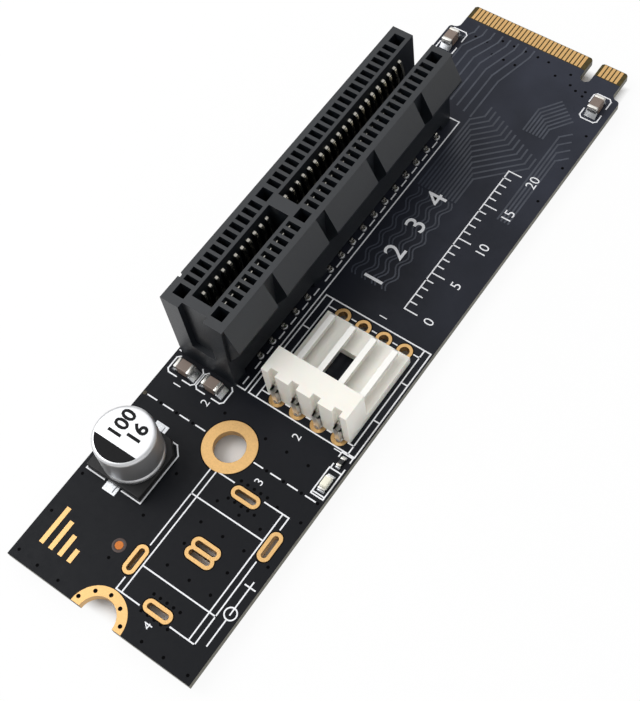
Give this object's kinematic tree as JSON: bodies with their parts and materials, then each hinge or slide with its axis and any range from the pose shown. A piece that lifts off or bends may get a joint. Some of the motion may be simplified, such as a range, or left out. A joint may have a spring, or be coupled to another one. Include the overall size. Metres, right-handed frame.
{
  "type": "nvme adapter card",
  "caption": "Long narrow adapter card: gold edge contacts at one end, a tall open-ended card slot, a right-angle power header, a can capacitor and empty plated jack slots.",
  "frame": {"origin": "middle of the gold-finger edge, on the underside of the board", "axes": "+X across the card towards the power header side, +Y along the card out of the gold-finger edge, +Z out of the component side"},
  "size_m": [0.022, 0.08, 0.0129],
  "materials": {
    "solder_mask_board": "semi-gloss solder mask over glass-epoxy laminate, white printed lines",
    "gold_plate": "bright gold plating on copper",
    "bare_copper": "flat bare copper dot",
    "slot_plastic": "black glass-filled moulding, satin",
    "contact_metal": "gold-flashed spring alloy",
    "solder": "bright solder",
    "header_nylon": "ivory nylon",
    "tinned_pin": "bright tin plating",
    "can_aluminium": "drawn aluminium, satin",
    "base_plastic": "black moulding",
    "ceramic": "fired tan ceramic",
    "lamp_plastic": "milky clear resin",
    "lamp_base_resin": "pale laminate",
    "resistor_ceramic": "dark glazed ceramic"
  },
  "bodies": {
    "root": {"board": "solder_mask_board", "top_fingers": "gold_plate", "bottom_fingers": "gold_plate", "mount_ring": "gold_plate", "end_ring": "gold_plate", "jack_slot_plating": "gold_plate", "jack_pair_plating": "gold_plate", "front_hole_plating": "gold_plate", "rear_hole_plating": "gold_plate", "fiducial": "bare_copper", "slot_housing": "slot_plastic", "slot_contacts_left": "contact_metal", "slot_contacts_right": "contact_metal", "slot_solder": "solder", "header_housing": "header_nylon", "header_pins": "tinned_pin", "header_solder": "solder", "capacitor_can": "can_aluminium", "capacitor_base": "base_plastic", "capacitor_terminals": "tinned_pin", "chip_capacitor_bodies": "ceramic", "chip_capacitor_caps": "tinned_pin", "chip_solder": "solder", "led_base": "lamp_base_resin", "led_lens": "lamp_plastic", "led_terminals": "tinned_pin", "resistor_body": "resistor_ceramic", "resistor_terminals": "tinned_pin", "small_part_solder": "solder"}
  },
  "joints": []
}
